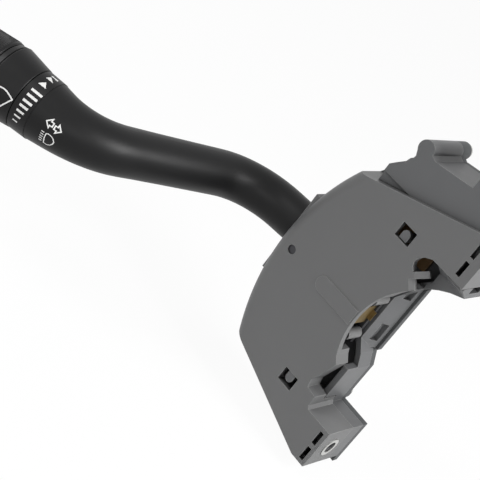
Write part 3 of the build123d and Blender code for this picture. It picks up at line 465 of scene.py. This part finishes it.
@dataclass
class TurningKnob:
    """The tapered knob, its groove and the ribbed grip beyond it, in millimetres along the knob's axis."""

    back: float = 7.35
    bore: float = 5.55
    start_radius: float = 12.1
    wide_radius: float = 13.9
    wide_at: float = 18.2
    chamfer: float = 0.25
    lip: float = 0.12
    groove: float = 0.45
    groove_near: float = 0.1
    groove_far: float = 0.45
    shoulder: float = 0.35
    shoulder_at: float = 0.6
    step_radius: float = 13.2
    step_at: float = 20.85
    step_round: float = 0.2
    step_drop: float = 2.2
    neck_drop: float = 1.2
    wall: float = 2.0
    neck_radius: float = 9.5
    neck_end: float = 23.35
    grip_back: float = 21.15
    grip_radius: float = 13.5
    grip_tip_radius: float = 11.8
    grip_end: float = 40.15
    grip_round: float = 2.5
    grip_wall: float = 4.0
    rim_drop: float = 0.6
    rim_edge: float = 0.1
    rim_height: float = 0.45
    web: float = 2.5
    neck_room: float = 0.1
    collar: float = 1.3
    ribs: int = 84
    rib_height: float = 0.24
    rib_from: float = 0.02
    rib_to: float = 0.3
    rib_stop: float = 0.6
    rib_clear: float = 1.5
    rib_shares: tuple[float, ...] = (0.02, 0.25, 0.5, 0.75, 0.98)
    round_angles: tuple[float, ...] = (22.5, 45.0, 67.5, 90.0)
    button_radius: float = 6.8
    button_cup: float = 4.0
    turn_steps: int = 96
    steps_per_rib: int = 4
    crest_steps: int = 2
    rib_smooth: float = 24.0

    def body_outline(self) -> list[tuple[float, float]]:
        """The knob's closed outline, with the turned groove at its widest place."""
        wide, cut = self.wide_radius, self.chamfer
        floor = wide - self.groove - cut
        return [
            (self.bore, self.back), (self.start_radius - cut, self.back),
            (self.start_radius, self.back + cut),
            (wide - self.lip, self.wide_at - cut), (wide - cut, self.wide_at),
            (floor, self.wide_at + self.groove_near), (floor, self.wide_at + self.groove_far),
            (wide - self.shoulder, self.wide_at + self.shoulder_at),
            (self.step_radius, self.step_at - self.step_round),
            (self.step_radius - self.step_round, self.step_at),
            (self.neck_radius, self.step_at), (self.neck_radius, self.neck_end),
            (self.neck_radius - self.wall, self.neck_end),
            (self.neck_radius - self.wall, self.step_at - self.neck_drop),
            (self.step_radius - self.wall, self.step_at - self.step_drop),
            (self.start_radius - self.wall, self.back + self.wall), (self.bore, self.back + self.wall),
        ]

    def grip_outline(self) -> list[tuple[float, float]]:
        """The grip's closed outline, without its ribs."""
        back, end, drop = self.grip_back, self.grip_end, self.grip_round
        side = [(self.grip_radius - self.rim_drop, back)]
        side.append((self.grip_radius - self.rim_edge, back + self.rim_height))
        side.append((self.grip_radius, back + self.collar))
        rib_end = end - drop - self.rib_stop
        for share in self.rib_shares:
            height = back + self.collar + (rib_end - back - self.collar) * share
            side.append((self.flank(height), height))
        side.append((self.grip_tip_radius, end - drop))
        for angle in self.round_angles:
            turn = math.radians(angle)
            radius = self.grip_tip_radius - drop * (1 - math.cos(turn))
            side.append((radius, end - drop + drop * math.sin(turn)))
        inner = self.grip_radius - self.grip_wall
        foot = self.neck_radius + self.neck_room
        return [(foot, back), *side, (self.button_radius, end),
                (self.button_radius, end - self.button_cup), (inner, end - self.button_cup),
                (inner, back + self.web), (foot, back + self.web)]

    def flank(self, height: float) -> float:
        """The grip's radius at a height, without its ribs."""
        share = (height - self.grip_back) / (self.grip_end - self.grip_round - self.grip_back)
        return self.grip_radius + (self.grip_tip_radius - self.grip_radius) * share

    def build(self, place: Matrix, material: bpy.types.Material) -> bpy.types.Object:
        """Makes the knob and the grip.

        Args:
            place: The knob's axis.
            material: The black finish.

        Returns:
            The knob, which carries a print.
        """
        body = Shape()
        body.ring_of(self.body_outline(), self.turn_steps)
        knob = body.finish("turned_knob", place, material)
        grip = Shape()
        steps = self.ribs * self.steps_per_rib
        grip.ring_of(self.grip_outline(), steps)
        low = self.grip_back + self.collar + self.rib_from
        high = self.grip_end - self.grip_round - self.rib_to
        for vert in grip.mesh.verts:
            radius = math.hypot(vert.co.x, vert.co.y)
            if low < vert.co.z < high and radius > self.neck_radius + self.rib_clear:
                step = round(math.atan2(vert.co.y, vert.co.x) / math.tau * steps) % self.steps_per_rib
                if step < self.crest_steps:
                    lift = 1 + self.rib_height / radius
                    vert.co.x *= lift
                    vert.co.y *= lift
        ribbed = grip.finish("ribbed_grip", place, material, smooth=self.rib_smooth)
        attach(knob, Body.KNOB.value)
        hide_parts("knob_body")
        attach(ribbed, Body.KNOB.value)
        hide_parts("knob_grip")
        return knob


class PrintedMarks:
    """White marks printed on the lever: each is drawn flat and laid on the surface that carries it.

    A mark is drawn with X along the knob's axis and Y round it, in millimetres on a cylinder of the
    print's radius. The surface under each of its points is then found by a ray towards the axis.
    """

    radius: float = 12.0
    lift: float = 0.05
    sink: float = 0.04
    outside: float = 30.0
    nearby: float = 17.0
    longest_edge: float = 0.9
    cuts: int = 3
    drawn_height: float = 1.0
    arrow_line: float = 0.46
    lamp_line: float = 0.36
    beam_line: float = 0.34
    screen_line: float = 0.48

    def __init__(self, place: Matrix, material: bpy.types.Material) -> None:
        """Keeps the axis and the print's finish.

        Args:
            place: The knob's axis.
            material: The white ink.
        """
        self.place = place
        self.material = material

    def laid(self, along: float, degrees: float) -> tuple[float, float, float]:
        """A place on the lever as a point of the flat drawing."""
        return (along, math.radians(degrees) * self.radius, 0.0)

    def bar(self, shape: Shape, start: float, end: float, degrees: float, width: float) -> None:
        """Draws a straight bar along the axis."""
        made = bmesh.ops.create_grid(shape.mesh, x_segments=6, y_segments=2, size=0.5)["verts"]
        bmesh.ops.scale(shape.mesh, vec=(end - start, width, 1.0), verts=made)
        along, side, _ = self.laid((start + end) / 2, degrees)
        bmesh.ops.translate(shape.mesh, vec=(along, side, 0.0), verts=made)

    def filled(self, shape: Shape, corners: list[tuple[float, float]]) -> bmesh.types.BMFace:
        """Draws a filled shape from its corners, given along the axis and in degrees round it."""
        made = bmesh.ops.create_circle(shape.mesh, cap_ends=True, segments=len(corners), radius=1.0)["verts"]
        for vert, (along, degrees) in zip(made, corners):
            vert.co = self.laid(along, degrees)
        return made[0].link_faces[0]

    def outlined(self, shape: Shape, corners: list[tuple[float, float]], width: float) -> None:
        """Draws the outline of a shape as a line of even width."""
        face = self.filled(shape, corners)
        bmesh.ops.inset_individual(shape.mesh, faces=[face], thickness=width, use_even_offset=True)
        bmesh.ops.delete(shape.mesh, geom=[face], context="FACES_ONLY")

    def lay(self, name: str, shape: Shape, surface: BVHTree, body: Body) -> bpy.types.Object:
        """Thickens a flat drawing a little and lays it on the surface.

        Args:
            name: The piece's name.
            shape: The flat drawing.
            surface: The surface that carries it, in scene units.
            body: The body that it rides on.

        Returns:
            The printed piece.
        """
        bm = shape.mesh
        long_edges = [edge for edge in bm.edges if edge.calc_length() > self.longest_edge]
        bmesh.ops.subdivide_edges(bm, edges=long_edges, cuts=self.cuts, use_grid_fill=True)
        bmesh.ops.triangulate(bm, faces=bm.faces)
        raised = bmesh.ops.extrude_face_region(bm, geom=bm.faces[:])["geom"]
        tops = [item for item in raised if isinstance(item, bmesh.types.BMVert)]
        bmesh.ops.translate(bm, verts=tops, vec=(0.0, 0.0, self.drawn_height))
        bmesh.ops.recalc_face_normals(bm, faces=bm.faces)
        back = self.place.inverted()
        for vert in bm.verts:
            turn = vert.co.y / self.radius
            out = Vector((math.cos(turn), math.sin(turn), 0.0))
            start = self.place @ ((out * self.outside + Vector((0.0, 0.0, vert.co.x))) * MM)
            aim = (self.place.to_3x3() @ -out).normalized()
            found = surface.ray_cast(start, aim)[0]
            if found is None:
                found = surface.find_nearest(start + aim * self.nearby * MM)[0]
            height = self.lift if vert.co.z > self.drawn_height / 2 else -self.sink
            vert.co = (back @ found) / MM + out * height
        made = shape.finish(name, self.place, self.material)
        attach(made, body.value)
        return made

    def scale_marks(self, surface: BVHTree) -> None:
        """The wiper scale on the fixed ring: seven bars, two pointers and a stop line."""
        shape = Shape()
        bars = [(0.3, -48.8, 0.95), (0.6, -59.7, 0.95), (1.05, -70.8, 0.92), (1.4, -80.8, 0.88),
                (1.9, -91.2, 0.8), (2.3, -101.9, 0.66), (2.9, -112.8, 0.52)]
        for start, degrees, width in bars:
            self.bar(shape, start, 4.95, degrees, width)
        self.filled(shape, [(4.9, -33.8), (3.3, -22.4), (1.5, -33.5)])
        self.filled(shape, [(4.9, -14.0), (4.1, -3.6), (1.7, -13.5)])
        self.bar(shape, 1.8, 4.6, 2.0, 0.9)
        self.lay("scale_print", shape, surface, Body.LEVER)

    def lamp_marks(self, surface: BVHTree) -> None:
        """The turn arrows and the high-beam lamp on the stalk."""
        shape = Shape()
        self.outlined(shape, [(-5.55, -75.6), (-7.7, -63.6), (-7.7, -70.6), (-8.75, -70.6), (-8.75, -80.8),
                              (-7.7, -80.8), (-7.7, -87.4)], self.arrow_line)
        self.outlined(shape, [(-12.2, -77.6), (-10.1, -89.6), (-10.1, -82.4), (-9.1, -82.4), (-9.1, -72.4),
                              (-10.1, -72.4), (-10.1, -64.6)], self.arrow_line)
        self.outlined(shape, [(-8.1, -97.8), (-8.0, -109.0), (-8.2, -120.2), (-9.3, -121.2), (-10.3, -118.6),
                              (-11.0, -112.8), (-11.15, -106.4), (-10.55, -100.4), (-9.6, -97.3),
                              (-8.7, -96.6)], self.lamp_line)
        for degrees in (-97.4, -102.6, -107.8, -113.0, -118.4):
            self.bar(shape, -7.2, -6.0, degrees, self.beam_line)
        self.lay("lamp_print", shape, surface, Body.LEVER)

    def screen_mark(self, surface: BVHTree) -> None:
        """The windscreen outline on the knob."""
        shape = Shape()
        self.outlined(shape, [(8.2, -83.2), (9.6, -80.2), (10.8, -78.0), (12.2, -77.2), (13.4, -78.0),
                              (14.7, -80.2), (16.2, -83.2), (14.9, -93.0), (13.4, -104.0), (12.1, -103.2),
                              (10.8, -104.0), (9.4, -93.0)], self.screen_line)
        self.lay("screen_print", shape, surface, Body.KNOB)


@dataclass
class InsertThread:
    """The screw thread inside a metal insert, in millimetres."""

    bore: float = 2.6
    depth: float = 0.42
    pitch: float = 0.9
    width: float = 0.756
    seat: float = 0.03
    turns: int = 13
    steps: int = 24

    def build(
        self, name: str, mouth: tuple[float, float, float], material: bpy.types.Material
    ) -> bpy.types.Object:
        """Makes the thread as one ridge wound along the bore.

        Args:
            name: The piece's name.
            mouth: The bore's mouth on the end of the leg, in millimetres.
            material: The insert's metal.

        Returns:
            The thread.
        """
        shape = Shape()
        bm = shape.mesh
        foot = self.bore + self.seat
        corners = [(foot, 0.0), (self.bore - self.depth, self.width / 2), (foot, self.width)]
        made = bmesh.ops.create_circle(bm, cap_ends=True, segments=3, radius=1.0)["verts"]
        for vert, (radius, height) in zip(made, corners):
            vert.co = (radius, 0.0, height)
        run = self.pitch / self.steps
        bmesh.ops.spin(
            bm, geom=bm.verts[:] + bm.edges[:] + bm.faces[:], cent=(0, 0, 0), axis=(0, 0, 1),
            dvec=(0.0, 0.0, run), angle=math.tau * self.turns, steps=self.steps * self.turns,
        )
        bmesh.ops.recalc_face_normals(bm, faces=bm.faces)
        x, y, z = mouth
        place = Matrix.Translation(Vector((x, y, z)) * MM) @ Matrix.Rotation(-math.pi / 2, 4, "Y")
        made_thread = shape.finish(name, place, material)
        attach(made_thread, Body.HOUSING.value)
        return made_thread


@dataclass
class WarningTriangle:
    """The two nested triangles on the hazard button, in millimetres."""

    outer: float = 4.6
    line: float = 0.75
    gap: float = 0.7
    height: float = 0.06

    def build(self, button: str, material: bpy.types.Material) -> bpy.types.Object:
        """Makes the mark on top of the button.

        Args:
            button: The CAD node that carries it.
            material: The white ink.

        Returns:
            The mark.
        """
        low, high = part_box(button)
        middle = Vector(((low[0] + high[0]) / 2, (low[1] + high[1]) / 2, high[2]))
        shape = Shape()
        bm = shape.mesh
        for radius in (self.outer, self.outer - 2 * (self.line + self.gap)):
            made = bmesh.ops.create_circle(bm, cap_ends=True, segments=3, radius=radius)["verts"]
            face = made[0].link_faces[0]
            bmesh.ops.inset_individual(bm, faces=[face], thickness=self.line, use_even_offset=True)
            bmesh.ops.delete(bm, geom=[face], context="FACES_ONLY")
        raised = bmesh.ops.extrude_face_region(bm, geom=bm.faces[:])["geom"]
        tops = [item for item in raised if isinstance(item, bmesh.types.BMVert)]
        bmesh.ops.translate(bm, verts=bm.verts, vec=(0.0, 0.0, -self.height / 2))
        bmesh.ops.translate(bm, verts=tops, vec=(0.0, 0.0, self.height))
        bmesh.ops.recalc_face_normals(bm, faces=bm.faces)
        made_mark = shape.finish("warning_triangle", Matrix.Translation(middle), material)
        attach(made_mark, Body.HAZARD.value)
        return made_mark


def surface_of(objects: list[bpy.types.Object]) -> BVHTree:
    """Gathers some objects' faces for finding places on them.

    Args:
        objects: Mesh objects at the origin.

    Returns:
        A search tree in scene units.
    """
    points: list[Vector] = []
    faces: list[list[int]] = []
    for item in objects:
        first = len(points)
        points += [vert.co.copy() for vert in item.data.vertices]
        faces += [[first + index for index in face.vertices] for face in item.data.polygons]
    return BVHTree.FromPolygons(points, faces)


@dataclass
class Studio:
    """Floor, lamps, world and camera. Places are in metres, lamp sizes in metres and powers in watts."""

    camera_place: tuple[float, float, float] = (0.11483, -0.40607, 0.19896)
    camera_aim: tuple[float, float, float] = (-0.40281, 0.81128, -0.42375)
    camera_up: tuple[float, float, float] = (-0.68782, 0.03714, 0.72493)
    sensor_width: float = 36.0
    focal_share: float = 1365.0 / 480.0
    clip: tuple[float, float] = (0.01, 20.0)
    lamp_target: tuple[float, float, float] = (-0.08, 0.0, 0.0)
    floor_level: float = -0.0605
    floor_half: float = 3.0
    floor_white: float = 0.95
    floor_grey: float = 0.9
    floor_roughness: float = 0.9
    world_light: float = 0.050
    lamps: tuple[tuple[str, tuple[float, float, float], float, float], ...] = (
        ("front", (0.1, -0.95, 0.3), 0.5, 0.69),
        ("left", (-0.6, -0.5, 0.6), 0.3, 3.93),
        ("open_side", (0.44, 0.01, 0.43), 0.3, 5.15),
        ("near", (0.29, -0.55, 0.28), 0.2, 0.41),
    )

    def build(self) -> None:
        """Makes the whole studio."""
        self.make_camera()
        self.make_world()
        self.make_floor()
        self.make_lamps()
        scene = bpy.context.scene
        scene.view_settings.view_transform = "Standard"

    def make_camera(self) -> None:
        """Sets the camera at the photograph's place."""
        data = bpy.data.cameras.new("camera")
        data.sensor_width = self.sensor_width
        data.sensor_fit = "HORIZONTAL"
        data.lens = self.sensor_width * self.focal_share
        data.clip_start, data.clip_end = self.clip
        camera = bpy.data.objects.new("camera", data)
        bpy.context.scene.collection.objects.link(camera)
        aim = Vector(self.camera_aim).normalized()
        up = Vector(self.camera_up)
        right = aim.cross(up).normalized()
        up = right.cross(aim).normalized()
        turn = Matrix((right, up, -aim)).transposed().to_4x4()
        camera.matrix_world = Matrix.Translation(self.camera_place) @ turn
        bpy.context.scene.camera = camera

    def make_world(self) -> None:
        """A soft grey world that the camera and gloss see as white."""
        world = bpy.data.worlds.new("studio_world")
        bpy.context.scene.world = world
        world.use_nodes = True
        nodes, links = world.node_tree.nodes, world.node_tree.links
        nodes.clear()
        out = nodes.new("ShaderNodeOutputWorld")
        light = nodes.new("ShaderNodeBackground")
        light.inputs["Color"].default_value = (1.0, 1.0, 1.0, 1.0)
        light.inputs["Strength"].default_value = self.world_light
        seen = nodes.new("ShaderNodeBackground")
        seen.inputs["Color"].default_value = (1.0, 1.0, 1.0, 1.0)
        seen.inputs["Strength"].default_value = 1.0
        mix = nodes.new("ShaderNodeMixShader")
        links.new(self.looked_at(nodes, links), mix.inputs["Fac"])
        links.new(light.outputs["Background"], mix.inputs[1])
        links.new(seen.outputs["Background"], mix.inputs[2])
        links.new(mix.outputs["Shader"], out.inputs["Surface"])

    @staticmethod
    def looked_at(nodes: bpy.types.Nodes, links: bpy.types.NodeLinks) -> bpy.types.NodeSocket:
        """Tells camera, glossy and transmission rays from the rest.

        Args:
            nodes: The tree's nodes.
            links: The tree's links.

        Returns:
            A socket that is 1 for those rays.
        """
        path = nodes.new("ShaderNodeLightPath")
        seen = path.outputs["Is Camera Ray"]
        for kind in ("Is Glossy Ray", "Is Transmission Ray"):
            either = nodes.new("ShaderNodeMath")
            either.operation = "MAXIMUM"
            links.new(seen, either.inputs[0])
            links.new(path.outputs[kind], either.inputs[1])
            seen = either.outputs[0]
        return seen

    def make_floor(self) -> None:
        """A pale floor under the switch."""
        mesh = bpy.data.meshes.new("floor")
        made = bmesh.new()
        bmesh.ops.create_grid(made, x_segments=1, y_segments=1, size=self.floor_half)
        bmesh.ops.translate(made, verts=made.verts, vec=(0.0, 0.0, self.floor_level))
        made.to_mesh(mesh)
        made.free()
        floor = bpy.data.objects.new("floor", mesh)
        bpy.context.scene.collection.objects.link(floor)
        mat = bpy.data.materials.new("floor_paper")
        mat.use_nodes = True
        nodes, links = mat.node_tree.nodes, mat.node_tree.links
        shader = nodes["Principled BSDF"]
        shader.inputs["Base Color"].default_value = (*[self.floor_grey] * 3, 1.0)
        shader.inputs["Roughness"].default_value = self.floor_roughness
        bright = nodes.new("ShaderNodeEmission")
        bright.inputs["Color"].default_value = (1.0, 1.0, 1.0, 1.0)
        bright.inputs["Strength"].default_value = 1.0
        mix = nodes.new("ShaderNodeMixShader")
        share = nodes.new("ShaderNodeMath")
        share.operation = "MULTIPLY"
        share.inputs[1].default_value = self.floor_white
        links.new(self.looked_at(nodes, links), share.inputs[0])
        links.new(share.outputs[0], mix.inputs["Fac"])
        links.new(shader.outputs["BSDF"], mix.inputs[1])
        links.new(bright.outputs["Emission"], mix.inputs[2])
        links.new(mix.outputs["Shader"], nodes["Material Output"].inputs["Surface"])
        mesh.materials.append(mat)

    def make_lamps(self) -> None:
        """Soft lamps from the front, the left, above the open side, and near the camera."""
        for name, place, size, power in self.lamps:
            self.lamp(name, place, size, power)

    def lamp(self, name: str, place: tuple[float, float, float], size: float, power: float) -> None:
        """Adds a square area lamp that faces the switch.

        Args:
            name: The lamp's name.
            place: Where it stands, in metres.
            size: Its side, in metres.
            power: Its power in watts.
        """
        data = bpy.data.lights.new(name, "AREA")
        data.size = size
        data.energy = power
        lamp = bpy.data.objects.new(name, data)
        bpy.context.scene.collection.objects.link(lamp)
        aim = Vector(self.lamp_target) - Vector(place)
        lamp.rotation_mode = "QUATERNION"
        lamp.rotation_quaternion = aim.to_track_quat("-Z", "Y")
        lamp.location = place


def main() -> None:
    """Builds the scene: the dressed nodes, the finer pieces, then the studio."""
    logging.basicConfig(level=logging.INFO, format="%(message)s")
    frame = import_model()
    MouldedSurface()
    dresser = Dresser()
    nodes = frame["nodes"]
    dresser.dress(nodes)
    axis = KnobAxis().matrix()
    black, white = dresser.material(LEVER_BLACK), dresser.material(PRINT_WHITE)
    knob = TurningKnob().build(axis, black)
    marks = PrintedMarks(axis, white)
    lever = surface_of([nodes["lever_stalk"], nodes["scale_ring"]])
    marks.scale_marks(lever)
    marks.lamp_marks(lever)
    marks.screen_mark(surface_of([knob]))
    dark_steel = dresser.material(BLACKENED)
    InsertThread().build("lower_thread", LOWER_BORE, dark_steel)
    InsertThread().build("upper_thread", UPPER_BORE, dark_steel)
    WarningTriangle().build("hazard_button", white)
    Studio().build()


if __name__ == "__main__":
    main()
